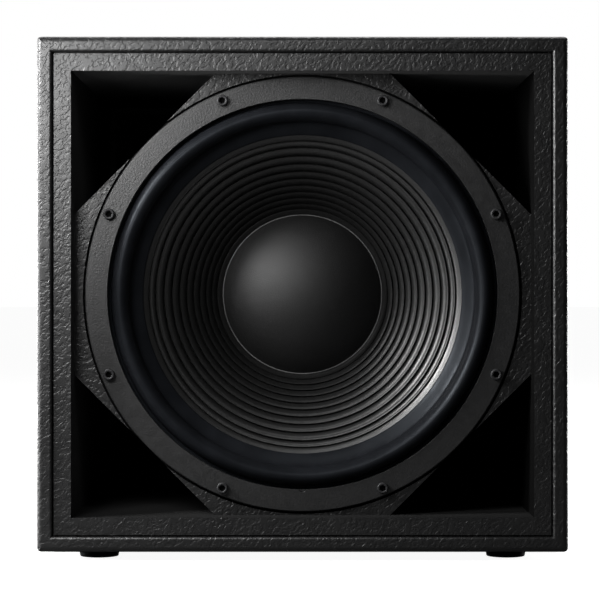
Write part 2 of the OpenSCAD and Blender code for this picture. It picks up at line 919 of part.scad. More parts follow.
module top_plate() {
    color(bright_steel) at_middle() on_driver_axis() difference() {
        tube(top_plate_r, plate_bore_r, magnet_h, top_plate_h);
        motor_screw_places() rod(m5_r + 0.1, magnet_h + 1, top_plate_h + through);
    }
}

module magnet() {
    color([0.25, 0.25, 0.26]) at_middle() on_driver_axis()
        tube(magnet_r, magnet_bore_r, back_plate_h, magnet_h);
}

module back_plate() {
    color(bright_steel) at_middle() on_driver_axis() difference() {
        union() {
            rod(back_plate_r, back_plate_h - back_plate_t, back_plate_h);
            rod(pole_piece_r, back_plate_h - 1, pole_piece_top);
        }
        rod(vent_r, back_plate_h - back_plate_t - through, pole_piece_top + through);
    }
}

module vent_mesh() {
    color(black_steel) at_middle() on_driver_axis() difference() {
        rod(vent_r - 0.1, back_plate_h - back_plate_t, back_plate_h - back_plate_t + 0.8);
        for (circle_r = [5, 11], k = [0 : circle_r])
            rotate([0, 0, k * 360 / (circle_r + 1)]) translate([circle_r, 0, 0])
                rod(1.6, back_plate_h - back_plate_t - through, back_plate_h);
    }
}

module terminal_board() {
    color([0.35, 0.22, 0.1]) at_middle() on_driver_axis() rotate([0, 0, terminal_turn])
        translate([terminal_r, 0, floor_h])
            block([0, -terminal_w / 2, -6], [terminal_board_t, terminal_w / 2, pot_top - floor_h]);
}

module terminal_tabs() {
    tab_low_r = terminal_r + terminal_board_t;
    color([0.8, 0.65, 0.3]) at_middle() on_driver_axis() rotate([0, 0, terminal_turn])
        for (s = [-1, 1])
            translate([0, s * lead_side, 0]) {
                block([tab_low_r, -4, floor_h - 3], [tab_low_r + 1, 4, floor_h + 12]);
                block([tab_low_r, -3, floor_h - 4], [tab_low_r + 10, 3, floor_h - 3]);
            }
}

// Braided lead that loops from the terminal board up to the back of the cone.
module tinsel_lead(side) {
    lead_r0 = terminal_r + terminal_board_t + 2.2;
    end_r = 92;
    route = [
        [lead_r0, side * lead_side, floor_h + 6],
        [lead_r0 + 3, side * lead_side, floor_h + 20],
        [lead_r0 + 6, side * (lead_side + 1), floor_h + 34],
        [lead_r0 + 2, side * (lead_side + 1), floor_h + 45],
        [end_r, side * lead_side, slope_h(end_r) - paper_t - rib_depth - lead_r - 1]
    ];
    at_middle() on_driver_axis() rotate([0, 0, terminal_turn]) rotate([90, 0, 0])
        swept_tube([for (p = smooth_route(route, 4)) [p[0], p[2], -p[1]]], lead_r);
}

top_panel();
bottom_panel();
side_panel(-1);  // left_side_panel
side_panel(1);  // right_side_panel
rear_panel();
level_liner(open_z);  // top_liner
level_liner(-inside_z);  // bottom_liner
upright_liner(-1);  // left_liner
upright_liner(1);  // right_liner
baffle();
port_board(-1, 1);  // port_board_top_left
port_board(1, 1);  // port_board_top_right
port_board(-1, -1);  // port_board_bottom_left
port_board(1, -1);  // port_board_bottom_right
cross_brace();
rear_foam();
foot(-1, -1);  // foot_front_left
foot(1, -1);  // foot_front_right
foot(-1, 1);  // foot_rear_left
foot(1, 1);  // foot_rear_right
foot_washers();
foot_screws();
input_plate();
input_plate_gasket();
input_plate_screws();
one_socket(-1);  // input_socket
one_socket(1);  // link_socket
socket_screws();
link_wires();
color([0.6, 0.1, 0.1]) input_wire(1);  // input_wire_positive
color(black_rubber) input_wire(-1);  // input_wire_negative
handle_cup(-1);  // left_handle_cup
handle_cup(1);  // right_handle_cup
handle_grip(-1);  // left_handle_grip
handle_grip(1);  // right_handle_grip
handle_screws();
pole_socket_tube();
pole_socket_flange();
pole_socket_screws();
driver_basket();
driver_gasket();
driver_clamp_ring();
driver_screws();
driver_tee_nuts();
surround();
cone();
dust_cap();
voice_coil_former();
voice_coil();
spider();
motor_screws();
top_plate();
magnet();
back_plate();
vent_mesh();
terminal_board();
terminal_tabs();
color(bright_steel) tinsel_lead(1);  // tinsel_lead_positive
color(bright_steel) tinsel_lead(-1);  // tinsel_lead_negative
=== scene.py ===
"""Looks for the ported subwoofer: materials, finer pieces, lights and the camera round the CAD frame."""

import json
import math

import bmesh
import bpy
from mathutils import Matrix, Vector


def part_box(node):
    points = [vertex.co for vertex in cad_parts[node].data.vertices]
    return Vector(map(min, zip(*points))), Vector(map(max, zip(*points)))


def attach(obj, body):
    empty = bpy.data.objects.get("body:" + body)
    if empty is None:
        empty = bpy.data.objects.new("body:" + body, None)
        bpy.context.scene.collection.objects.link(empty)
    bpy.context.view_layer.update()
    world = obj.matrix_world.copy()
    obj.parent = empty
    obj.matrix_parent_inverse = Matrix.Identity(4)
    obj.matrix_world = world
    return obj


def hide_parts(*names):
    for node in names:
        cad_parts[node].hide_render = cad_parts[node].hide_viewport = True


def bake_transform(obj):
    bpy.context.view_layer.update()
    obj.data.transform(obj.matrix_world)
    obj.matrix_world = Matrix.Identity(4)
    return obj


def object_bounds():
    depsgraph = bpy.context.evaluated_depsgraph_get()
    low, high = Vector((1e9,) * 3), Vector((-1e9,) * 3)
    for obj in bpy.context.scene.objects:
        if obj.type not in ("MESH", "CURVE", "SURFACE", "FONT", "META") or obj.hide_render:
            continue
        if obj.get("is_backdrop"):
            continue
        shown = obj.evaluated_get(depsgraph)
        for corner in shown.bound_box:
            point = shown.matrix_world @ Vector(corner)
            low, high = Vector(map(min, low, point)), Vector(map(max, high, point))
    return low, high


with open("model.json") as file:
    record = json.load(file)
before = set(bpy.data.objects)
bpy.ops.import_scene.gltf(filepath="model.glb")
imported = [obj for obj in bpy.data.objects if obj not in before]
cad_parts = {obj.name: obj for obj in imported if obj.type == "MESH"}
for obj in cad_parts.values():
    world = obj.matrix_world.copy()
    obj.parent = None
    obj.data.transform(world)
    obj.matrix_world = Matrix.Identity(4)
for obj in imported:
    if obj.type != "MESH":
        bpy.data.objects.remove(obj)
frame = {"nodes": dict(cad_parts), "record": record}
cad_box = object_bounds()
nodes = frame["nodes"]

MM = 0.001
TAU = 2 * math.pi
CABINET = "cabinet"
MOVING = "cone_assembly"

ring_low, ring_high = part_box("driver_clamp_ring")
AXIS_Z = (ring_low.z + ring_high.z) / 2
SEAT_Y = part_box("driver_gasket")[1].y
FRONT_Y = cad_box[0][1]


# ---- materials ----

class Shader:
    """One procedural material, with short calls for the nodes that it is made of."""

    def __init__(self, name, **sockets):
        self.material = bpy.data.materials.new(name)
        self.material.use_nodes = True
        self.tree = self.material.node_tree
        self.surface = self.tree.nodes["Principled BSDF"]
        for socket, value in sockets.items():
            self.surface.inputs[socket.replace("_", " ")].default_value = value
        self.place = self.node("ShaderNodeTexCoord").outputs["Object"]

    def node(self, kind, **settings):
        made = self.tree.nodes.new(kind)
        for name, value in settings.items():
            setattr(made, name, value)
        return made

    def put(self, value, socket):
        if isinstance(value, bpy.types.NodeSocket):
            self.tree.links.new(value, socket)
        else:
            socket.default_value = value

    def noise(self, scale, detail=2.0, roughness=0.5, distortion=0.0, place=None):
        made = self.node("ShaderNodeTexNoise")
        self.put(place or self.place, made.inputs["Vector"])
        made.inputs["Scale"].default_value = scale
        made.inputs["Detail"].default_value = detail
        made.inputs["Roughness"].default_value = roughness
        made.inputs["Distortion"].default_value = distortion
        return made.outputs["Fac"]

    def cells(self, scale, smoothness):
        made = self.node("ShaderNodeTexVoronoi", feature="SMOOTH_F1")
        self.put(self.place, made.inputs["Vector"])
        made.inputs["Scale"].default_value = scale
        made.inputs["Smoothness"].default_value = smoothness
        return made.outputs["Distance"]

    def wave(self, scale, direction, distortion=0.0):
        made = self.node("ShaderNodeTexWave", wave_type="BANDS", bands_direction=direction)
        self.put(self.place, made.inputs["Vector"])
        made.inputs["Scale"].default_value = scale
        made.inputs["Distortion"].default_value = distortion
        return made.outputs["Fac"]

    def math(self, operation, a, b=0.0, c=0.0):
        made = self.node("ShaderNodeMath", operation=operation)
        for value, socket in zip((a, b, c), made.inputs):
            self.put(value, socket)
        return made.outputs[0]

    def rescale(self, value, low, high, to_low=0.0, to_high=1.0, kind="SMOOTHSTEP"):
        made = self.node("ShaderNodeMapRange", interpolation_type=kind)
        for setting, socket in zip((value, low, high, to_low, to_high), made.inputs):
            self.put(setting, socket)
        return made.outputs[0]

    def ramp(self, value, *stops):
        made = self.node("ShaderNodeValToRGB")
        self.put(value, made.inputs["Fac"])
        points = made.color_ramp.elements
        while len(points) < len(stops):
            points.new(0.5)
        for point, (position, colour) in zip(points, stops):
            point.position = position
            point.color = (*colour, 1)
        return made.outputs["Color"]

    def mix(self, share, a, b):
        made = self.node("ShaderNodeMix", data_type="RGBA")
        self.put(share, made.inputs[0])
        for value, socket in ((a, made.inputs[6]), (b, made.inputs[7])):
            self.put(value if isinstance(value, bpy.types.NodeSocket) else (*value, 1), socket)
        return made.outputs[2]

    def stretched(self, z):
        """The place with its height scaled, so that a pattern is drawn out or squeezed upwards."""
        made = self.node("ShaderNodeMapping")
        self.put(self.place, made.inputs["Vector"])
        made.inputs["Scale"].default_value = (1, 1, z)
        return made.outputs[0]

    def slanted(self, rise, length):
        """The place, drawn out along a line of the front that rises by an angle in degrees."""
        made = self.node("ShaderNodeMapping", vector_type="TEXTURE")
        self.put(self.place, made.inputs["Vector"])
        made.inputs["Scale"].default_value = (length, 1, 1)
        made.inputs["Rotation"].default_value = (0, -math.radians(rise), 0)
        return made.outputs[0]

    def along(self, axis):
        """The place along one axis, in metres."""
        made = self.node("ShaderNodeSeparateXYZ")
        self.put(self.place, made.inputs[0])
        return made.outputs[axis]

    def radius(self):
        """How far the place stands from the driver's axis, in metres."""
        x = self.along("X")
        z = self.math("SUBTRACT", self.along("Z"), AXIS_Z)
        squared = self.math("ADD", self.math("MULTIPLY", x, x), self.math("MULTIPLY", z, z))
        return self.math("SQRT", squared)

    def facing(self, axis):
        """How far the true surface faces along one axis, from -1 to 1."""
        made = self.node("ShaderNodeSeparateXYZ")
        self.put(self.node("ShaderNodeNewGeometry").outputs["True Normal"], made.inputs[0])
        return made.outputs[axis]

    def bump(self, height, distance, strength=1.0):
        made = self.node("ShaderNodeBump")
        self.put(strength, made.inputs["Strength"])
        made.inputs["Distance"].default_value = distance
        self.put(height, made.inputs["Height"])
        return made.outputs[0]

    def colour(self, value):
        self.put(value, self.surface.inputs["Base Color"])

    def roughness(self, value):
        self.put(value, self.surface.inputs["Roughness"])

    def normal(self, value):
        self.put(value, self.surface.inputs["Normal"])


PAINT_RELIEF = 0.19 * MM
# Paint this close to the driver's seat gets painted shadow, for the gap round the ring
GAP_MARGIN = 3 * MM
# Painted light and shade on the smooth wall paint, in metres behind the front
WALL_BRIGHTEST, WALL_FADE, WALL_BLACK = 0.10, 0.12, 0.34


def dabs_and_grain(s):
    """Short raised dabs, most of them slanted, on a fine grain, as sprayed structure paint dries."""
    dabs = s.rescale(s.noise(310, 1.0, 0.4, 0.2, s.slanted(52, 1.6)), 0.43, 0.59)
    strays = s.rescale(s.noise(350, 1.0, 0.4, 0.2, s.slanted(20, 1.4)), 0.46, 0.62)
    both = s.math("MAXIMUM", dabs, s.math("MULTIPLY", strays, 0.7))
    return s.math("ADD", both, s.math("MULTIPLY", s.noise(900, 2.0), 0.15))


def textured_paint(name, painted_wall_tone=None):
    """Structure paint. With a wall tone given it covers the front only, and smooth paint of that tone the
    rest, with painted light and shade on it.

    The front ends GAP_MARGIN before the driver's seat, so that the gap round the ring gets painted shadow
    from the smooth dark paint. The smooth paint has painted light that brightens to WALL_BRIGHTEST behind the
    front edge, and painted shade that fades it from WALL_FADE to WALL_BLACK.
    """
    s = Shader(name, Specular_IOR_Level=0.9)
    height = dabs_and_grain(s)
    black, charcoal = (0.0045, 0.0045, 0.0047), (0.0075, 0.0075, 0.0078)
    tone = s.ramp(s.noise(9, 3.0), (0.3, black), (0.7, charcoal))
    dust = s.rescale(s.noise(700, 2.0), 0.55, 0.8, 0.0, 0.35)
    painted = s.mix(dust, tone, (0.016, 0.016, 0.0165))
    gloss = s.rescale(s.noise(60, 3.0), 0.3, 0.7, 0.38, 0.43)
    if painted_wall_tone is not None:
        # Painted shadow in the gap round the ring, and painted light and shade on the port walls: brighter
        # near the front edge, black deeper in
        clear_of_painted_gap_shadow = s.math("LESS_THAN", s.along("Y"), SEAT_Y - GAP_MARGIN)
        front = s.math("MULTIPLY", clear_of_painted_gap_shadow, s.rescale(s.facing("Y"), -0.6, -0.3, 1.0, 0.0))
        painted_light_near_front = s.rescale(s.along("Y"), FRONT_Y, FRONT_Y + WALL_BRIGHTEST, painted_wall_tone, 3 * painted_wall_tone, "LINEAR")
        painted_shade_deeper = s.rescale(s.along("Y"), FRONT_Y + WALL_FADE, FRONT_Y + WALL_BLACK, 1.0, 0.0)
        painted_wall_light_and_shade = s.math("MULTIPLY", painted_light_near_front, painted_shade_deeper)
        grey = s.node("ShaderNodeCombineColor")
        for socket in grey.inputs[:3]:
            s.put(painted_wall_light_and_shade, socket)
        s.colour(s.mix(front, grey.outputs[0], painted))
        s.roughness(s.rescale(front, 0.0, 1.0, 0.85, gloss))
        s.put(s.rescale(front, 0.0, 1.0, 0.08, 0.9), s.surface.inputs["Specular IOR Level"])
        s.normal(s.bump(height, PAINT_RELIEF, front))
    else:
        s.colour(painted)
        s.roughness(gloss)
        s.normal(s.bump(height, PAINT_RELIEF))
    return s.material


def matt_paint(name):
    """Flat black paint for what lies deep in the ports."""
    s = Shader(name, Specular_IOR_Level=0.35)
    black, charcoal = (0.0035, 0.0035, 0.0037), (0.006, 0.006, 0.0062)
    s.colour(s.ramp(s.noise(14, 3.0), (0.35, black), (0.7, charcoal)))
    s.roughness(s.rescale(s.noise(80, 2.0), 0.3, 0.7, 0.58, 0.68))
    s.normal(s.bump(s.noise(420, 3.0), 0.08 * MM))
    return s.material


def grained(name, dark, light, roughness, grain_scale, grain, specular=0.5):
    """A plain finish with clouds of tone, varying gloss and a fine grain."""
    s = Shader(name, Specular_IOR_Level=specular)
    s.colour(s.ramp(s.noise(30, 4.0), (0.3, dark), (0.7, light)))
    s.roughness(s.rescale(s.noise(90, 3.0), 0.3, 0.7, roughness - 0.04, roughness + 0.04))
    s.normal(s.bump(s.noise(grain_scale, 3.0, 0.6), grain))
    return s.material


def ring_paint(name):
    """Powder coat with a fine, slightly mottled grain."""
    s = Shader(name, Specular_IOR_Level=1.0)
    clouds = s.noise(420, 4.0, 0.7)
    s.colour(s.ramp(clouds, (0.3, (0.008, 0.008, 0.0083)), (0.7, (0.018, 0.018, 0.0184))))
    s.roughness(s.rescale(s.noise(120, 3.0), 0.3, 0.7, 0.35, 0.41))
    s.normal(s.bump(s.noise(600, 3.0, 0.6), 0.20 * MM))
    return s.material


def rubber(name, tint=(0.007, 0.0076, 0.009), roughness=0.37):
    s = Shader(name, Specular_IOR_Level=0.14, Specular_Tint=(0.82, 0.90, 1.0, 1.0))
    lighter = tuple(1.7 * c for c in tint)
    s.colour(s.ramp(s.noise(40, 4.0), (0.3, tint), (0.75, lighter)))
    s.roughness(s.rescale(s.noise(90, 3.0), 0.3, 0.7, roughness - 0.04, roughness + 0.05))
    s.normal(s.bump(s.noise(1600, 2.0), 0.03 * MM))
    return s.material


def pulp(name, roughness, grain, scale=650, specular=1.0, tint=0.003, painted_shade_r=None, gloss_r=None):
    """Pressed black paper with short fibres. Its specular level can grow between two radii, which paints
    shade onto the inner ribs deep in the cone.
    """
    s = Shader(name, Specular_IOR_Level=specular)
    fibres = s.noise(scale, 4.0, 0.65, 1.2)
    dark, light = (tint,) * 3, (2 * tint,) * 3
    s.colour(s.ramp(s.noise(scale * 0.6, 4.0, 0.7), (0.3, dark), (0.72, light)))
    s.roughness(s.rescale(fibres, 0.3, 0.7, roughness - 0.05, roughness + 0.07))
    s.normal(s.bump(fibres, grain * MM))
    # Painted shade: the specular level falls towards the inner ribs, so that they look shaded deep in the
    # cone
    if painted_shade_r:
        outward = s.rescale(s.radius(), painted_shade_r, gloss_r, 0.0, 1.0, "LINEAR")
        gloss = s.math("MULTIPLY_ADD", s.math("MULTIPLY", outward, outward), specular, 0.05)
        s.put(gloss, s.surface.inputs["Specular IOR Level"])
    return s.material


def plywood(name):
    s = Shader(name)
    grain = s.noise(30, 5.0, 0.6, 0.5, s.stretched(0.08))
    dark, middle, pale = (0.42, 0.28, 0.15), (0.55, 0.39, 0.22), (0.66, 0.50, 0.31)
    s.colour(s.ramp(grain, (0.3, dark), (0.5, middle), (0.75, pale)))
    s.roughness(s.rescale(grain, 0.3, 0.7, 0.55, 0.7))
    s.normal(s.bump(grain, 0.3 * MM))
    return s.material


def foam(name, tint, scale=900, depth=0.7):
    s = Shader(name, Specular_IOR_Level=0.2)
    pores = s.cells(scale, 0.4)
    s.colour(s.ramp(pores, (0.1, tuple(0.45 * c for c in tint)), (0.6, tint)))
    s.roughness(s.rescale(pores, 0.0, 0.6, 0.95, 0.8))
    s.normal(s.bump(pores, depth * MM))
    return s.material


def metal(name, dark, light, roughness=0.32):
    s = Shader(name, Metallic=1.0)
    brushed = s.noise(260, 4.0, 0.6, 0.0, s.stretched(6))
    s.colour(s.ramp(s.noise(50, 4.0), (0.3, dark), (0.7, light)))
    s.roughness(s.rescale(brushed, 0.3, 0.7, roughness - 0.06, roughness + 0.10))
    s.normal(s.bump(brushed, 0.02 * MM))
    return s.material


def black_screw(name):
    """Blackened steel, with bare metal showing through where a driver has rubbed."""
    s = Shader(name, Metallic=0.2)
    worn = s.rescale(s.noise(900, 4.0, 0.7), 0.60, 0.72)
    black, grey, bare = (0.018, 0.018, 0.019), (0.034, 0.034, 0.036), (0.14, 0.14, 0.145)
    s.colour(s.mix(worn, s.ramp(s.noise(300, 3.0), (0.3, black), (0.7, grey)), bare))
    s.roughness(s.rescale(s.noise(500, 3.0), 0.3, 0.7, 0.42, 0.55))
    s.normal(s.bump(s.noise(1800, 2.0), 0.03 * MM))
    return s.material


def cloth(name, tint):
    s = Shader(name, Sheen_Weight=0.3)
    weave = s.math("MULTIPLY", s.wave(420, "X"), s.wave(420, "Z"))
    s.colour(s.ramp(weave, (0.0, tuple(0.55 * c for c in tint)), (0.6, tint)))
    s.roughness(s.rescale(weave, 0.0, 1.0, 0.9, 0.7))
    s.normal(s.bump(weave, 0.25 * MM))
    return s.material


def braid(name, tint):
    s = Shader(name, Metallic=0.8)
    strands = s.wave(900, "DIAGONAL", 1.0)
    s.colour(s.ramp(strands, (0.1, tuple(0.35 * c for c in tint)), (0.7, tint)))
    s.roughness(s.rescale(strands, 0.0, 1.0, 0.5, 0.3))
    s.normal(s.bump(strands, 0.25 * MM))
    return s.material


def speckled(name, dark, light, roughness=0.5, scale=500, depth=0.05):
    s = Shader(name)
    specks = s.noise(scale, 3.0, 0.6)
    s.colour(s.ramp(specks, (0.35, dark), (0.65, light)))
    s.roughness(s.rescale(specks, 0.3, 0.7, roughness - 0.06, roughness + 0.08))
    s.normal(s.bump(specks, depth * MM))
    return s.material


LOOKS = {
    "textured_paint": textured_paint("textured_paint_look"),
    "matt_black_paint": matt_paint("matt_black_paint_look"),
    "bare_plywood": plywood("bare_plywood_look"),
    "foam": foam("foam_look", (0.055, 0.055, 0.06)),
    "foot_rubber": rubber("foot_rubber_look", (0.009, 0.009, 0.0095), 0.55),
    "zinc_steel": metal("zinc_steel_look", (0.42, 0.43, 0.44), (0.60, 0.61, 0.62)),
    "black_screws": black_screw("black_screw_look"),
    "driver_bolts": black_screw("driver_bolt_look"),
    "powder_coated_steel": grained("powder_coat_look", (0.016, 0.016, 0.017), (0.026, 0.026, 0.027),
                                   0.44, 1300, 0.12 * MM),
    "powder_coated_ring": ring_paint("ring_look"),
    "cast_frame": grained("cast_frame_look", (0.016, 0.016, 0.017), (0.03, 0.03, 0.031),
                          0.5, 600, 0.15 * MM),
    "gasket_foam": foam("gasket_look", (0.02, 0.02, 0.021), 1400, 0.3),
    "socket_plastic": grained("socket_plastic_look", (0.016, 0.022, 0.045), (0.024, 0.032, 0.062),
                              0.36, 1500, 0.03 * MM),
    "red_wire": speckled("red_wire_look", (0.30, 0.02, 0.015), (0.42, 0.03, 0.02), 0.42),
    "black_wire": speckled("black_wire_look", (0.014, 0.014, 0.015), (0.026, 0.026, 0.027), 0.42),
    "grip_rubber": rubber("grip_rubber_look", (0.012, 0.012, 0.013), 0.5),
    "surround_rubber": rubber("surround_rubber_look"),
    "cone_paper": pulp("cone_paper_look", 0.34, 0.12, tint=0.0075, painted_shade_r=68 * MM, gloss_r=135 * MM),
    "dust_cap_paper": pulp("dust_cap_look", 0.48, 0.30, 900, 0.6),
    "former_film": speckled("former_film_look", (0.45, 0.24, 0.06), (0.58, 0.33, 0.10), 0.3),
    "copper_winding": metal("copper_winding_look", (0.55, 0.20, 0.08), (0.80, 0.35, 0.16), 0.28),
    "spider_cloth": cloth("spider_cloth_look", (0.52, 0.33, 0.10)),
    "ferrite": speckled("ferrite_look", (0.03, 0.03, 0.032), (0.055, 0.055, 0.058), 0.6, 900, 0.12),
    "terminal_fibre": speckled("terminal_fibre_look", (0.16, 0.08, 0.03), (0.26, 0.14, 0.06), 0.55, 300),
    "terminal_brass": metal("terminal_brass_look", (0.60, 0.42, 0.14), (0.75, 0.56, 0.24), 0.3),
    "tinsel_braid": braid("tinsel_braid_look", (0.75, 0.55, 0.35)),
}
SLOT_OF = {part["node"]: part["material_slot"] for part in frame["record"]["subparts"]}


# ---- mesh tools ----

def driver_place(r, h, angle):
    """A point of the driver: radius and height in front of the driver's seat, both in mm, and angle."""
    return Vector((r * MM * math.cos(angle), SEAT_Y - h * MM, AXIS_Z + r * MM * math.sin(angle)))


def axis_place(origin, across, up, out):
    """Places a lathe's radius, height and angle round any axis through origin."""
    origin, across, up, out = (Vector(v) for v in (origin, across, up, out))

    def place(r, h, angle):
        return origin + r * MM * (math.cos(angle) * across + math.sin(angle) * up) + h * MM * out

    return place


def finish_mesh(obj, sharp_degrees):
    bm = bmesh.new()
    bm.from_mesh(obj.data)
    bmesh.ops.remove_doubles(bm, verts=bm.verts, dist=1e-7)
    bmesh.ops.recalc_face_normals(bm, faces=bm.faces)
    bm.to_mesh(obj.data)
    bm.free()
    obj.data.shade_smooth()
    obj.data.set_sharp_from_angle(angle=math.radians(sharp_degrees))


def piece(name, verts, faces, slot, stands_for=(), body=CABINET, sharp_degrees=40, look=None):
    """A smooth-shaded mesh that rides a body, or none if it bends, and stands for CAD nodes."""
    mesh = bpy.data.meshes.new(name)
    mesh.from_pydata([tuple(v) for v in verts], [], faces)
    obj = bpy.data.objects.new(name, mesh)
    bpy.context.scene.collection.objects.link(obj)
    finish_mesh(obj, sharp_degrees)
    mesh.materials.append(look or LOOKS[slot])
    if body:
        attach(obj, body)
    if stands_for:
        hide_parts(*stands_for)
    return obj


def lathe_mesh(profile, place, segments):
    """Vertices and faces of a turned shape with a closed profile. A radius may be a function of the angle."""
    verts, faces = [], []
    count = len(profile)
    for j in range(segments):
        angle = TAU * j / segments
        for r, h in profile:
            verts.append(place(r(angle) if callable(r) else r, h, angle))
    for j in range(segments):
        after = (j + 1) % segments
        for i in range(count):
            k = (i + 1) % count
            faces.append((j * count + i, after * count + i, after * count + k, j * count + k))
    return verts, faces


def join(*parts):
    """Several vertex and face lists as one."""
    verts, faces = [], []
    for v, f in parts:
        start = len(verts)
        verts.extend(v)
        faces.extend(tuple(i + start for i in face) for face in f)
    return verts, faces


def arc(centre_r, centre_h, radius, start, end, steps):
    """Points of an arc in a lathe's profile, from start to end in degrees."""
    out = []
    for i in range(steps + 1):
        a = math.radians(start + (end - start) * i / steps)
        out.append((centre_r + radius * math.cos(a), centre_h + radius * math.sin(a)))
    return out


def swept_mesh(route, radius, sides, up):
    """A round tube along a smooth route of points in metres."""
    verts, faces = [], []
    last = len(route) - 1
    side = None
    for i, point in enumerate(route):
        ahead = (route[min(i + 1, last)] - route[max(i - 1, 0)]).normalized()
        if side is None:
            side = up.cross(ahead).normalized()
        side = (side - ahead * side.dot(ahead)).normalized()
        lift = ahead.cross(side)
        for k in range(sides):
            a = TAU * k / sides
            verts.append(point + radius * (math.cos(a) * side + math.sin(a) * lift))
    for i in range(last):
        for k in range(sides):
            n = (k + 1) % sides
            faces.append((i * sides + k, i * sides + n, (i + 1) * sides + n, (i + 1) * sides + k))
    faces.append(tuple(range(sides)))
    faces.append(tuple(last * sides + k for k in range(sides)))
    return verts, faces


def smooth_route(points, steps):
    """A smooth curve through all the points."""
    out = []
    for i in range(len(points) - 1):
        a, b, c, d = (points[max(i - 1, 0)], points[i], points[i + 1], points[min(i + 2, len(points) - 1)])
        for step in range(steps):
            t = step / steps
            bend, twist = 2 * a - 5 * b + 4 * c - d, 3 * b - 3 * c + d - a
            out.append(0.5 * (2 * b + (c - a) * t + bend * t * t + twist * t ** 3))
    out.append(points[-1])
    return out


FLAT_DEGREES, CORNER_DEGREES, SHARP_DEGREES = 0.4, 35, 30


def refined(node, bevel, segments=2, body=CABINET):
    """A copy of a CAD node with its triangles merged into faces and its hard edges eased by bevel, in mm."""
    obj = bpy.data.objects.new(node + "_eased", nodes[node].data.copy())
    bpy.context.scene.collection.objects.link(obj)
    if "custom_normal" in obj.data.attributes:
        obj.data.attributes.remove(obj.data.attributes["custom_normal"])
    bm = bmesh.new()
    bm.from_mesh(obj.data)
    bmesh.ops.remove_doubles(bm, verts=bm.verts, dist=2e-6)
    bmesh.ops.dissolve_limit(bm, angle_limit=math.radians(FLAT_DEGREES), verts=bm.verts, edges=bm.edges)
    corner = math.radians(CORNER_DEGREES)
    hard = [edge for edge in bm.edges if len(edge.link_faces) == 2 and edge.calc_face_angle() > corner]
    bmesh.ops.bevel(bm, geom=hard, offset=bevel * MM, segments=segments, profile=0.5, affect="EDGES",
                    clamp_overlap=True, offset_type="OFFSET")
    bmesh.ops.recalc_face_normals(bm, faces=bm.faces)
    bm.to_mesh(obj.data)
    bm.free()
    obj.data.shade_smooth()
    obj.data.set_sharp_from_angle(angle=math.radians(SHARP_DEGREES))
    obj.data.materials.clear()
    slot = SLOT_OF[node]
    obj.data.materials.append(LOOKS[slot])
    weighted = obj.modifiers.new("weighted", "WEIGHTED_NORMAL")
    weighted.keep_sharp = True
    weighted.weight = 90
    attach(obj, body)
    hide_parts(node)
    return obj


# ---- CAD nodes that stay ----

for name, obj in nodes.items():
    obj.data.materials.clear()
    obj.data.materials.append(LOOKS[SLOT_OF[name]])

# Structure paint in front, and in the recess smooth paint of this tone, which is painted light and shade: the
# top wall is painted lightest, as if lit from below, and the right wall is painted near black as painted
# shade
PAINTED_WALL_TONES = {
    "top_liner": 0.12,
    "bottom_liner": 0.012,
    "left_liner": 0.04,
    "right_liner": 0.0015,
    "baffle": 0.004,
}
for name, painted_wall_tone in PAINTED_WALL_TONES.items():
    nodes[name].data.materials.clear()
    nodes[name].data.materials.append(textured_paint(name + "_look", painted_wall_tone))


# ---- driver: surround, cone and dust cap ----

# Radii from the driver's axis, and heights in front of its seat, in mm. A shape that closes on its axis
# stops AXIS_GAP short of it.
RIM_OUT, ROLL_OUT, ROLL_IN, LAND_IN = 178.0, 171.0, 154.6, 143.2
ROLL_MID, ROLL_R = (ROLL_OUT + ROLL_IN) / 2, (ROLL_OUT - ROLL_IN) / 2
ROLL_HEIGHT = 13.0
RUBBER_T = 1.2
GLUE_T = 0.02
LAND_DROP = 4.0
CONE_OUT, RIB_OUT, WIDE_RIBS_OUT, RIB_IN = 153.0, 138.3, 132.8, 78.2
CAP_R, NECK_R = 72.9, 50.05
WIDE_RIBS, RIB_GROWTH, RIB_DEPTH, GROOVE_LIP = 9, 1.05, 1.3, 0.8
SLOPE = 0.6
PAPER_T = 1.5
AXIS_GAP = 0.02


def slope_h(r):
    """Height of the cone's face at a radius."""
    return -LAND_DROP - RUBBER_T - (ROLL_IN - r) * SLOPE


def groove_r(k):
    """Radius of groove k. Each wide rib is wider than the one inside it, and a narrow one comes last."""
    if k > WIDE_RIBS:
        return RIB_OUT
    first = (WIDE_RIBS_OUT - RIB_IN) * (RIB_GROWTH - 1) / (RIB_GROWTH ** WIDE_RIBS - 1)
    return RIB_IN + first * (RIB_GROWTH ** k - 1) / (RIB_GROWTH - 1)


def roll_face(half_width, height, start, end, steps):
    """Points of the half-roll's ellipse, from start to end in degrees."""
    turns = [math.radians(start + (end - start) * i / steps) for i in range(steps + 1)]
    return [(ROLL_MID + half_width * math.cos(a), height * math.sin(a)) for a in turns]


def surround_profile():
    top = [(RIM_OUT, 0.0), (ROLL_OUT + 1.5, 0.0), (ROLL_OUT + 0.6, 0.12)]
    top += roll_face(ROLL_R, ROLL_HEIGHT, 4, 180, 60)
    fold = ((0, 0.8), (0, 1.8), (0.12, 2.7), (0.5, 3.6), (1.2, 4.4))
    top += [(ROLL_IN - inset, -drop) for inset, drop in fold]
    top += [(r, slope_h(r) + RUBBER_T) for r in (152.4, 150, 147.5, LAND_IN + 0.9)]
    edge = ((LAND_IN + 0.3, 0.95), (LAND_IN, 0.5), (LAND_IN, GLUE_T))
    top += [(r, slope_h(r) + thickness) for r, thickness in edge]
    under = [(r, slope_h(r) + GLUE_T) for r in (147, 150, 153)]
    under += [(ROLL_IN + RUBBER_T, -LAND_DROP - 0.3), (ROLL_IN + RUBBER_T, -1.5)]
    under += roll_face(ROLL_R - RUBBER_T, ROLL_HEIGHT - RUBBER_T, 180, 0, 40)
    under += [(ROLL_OUT - RUBBER_T, -RUBBER_T), (RIM_OUT, -RUBBER_T)]
    return top + under


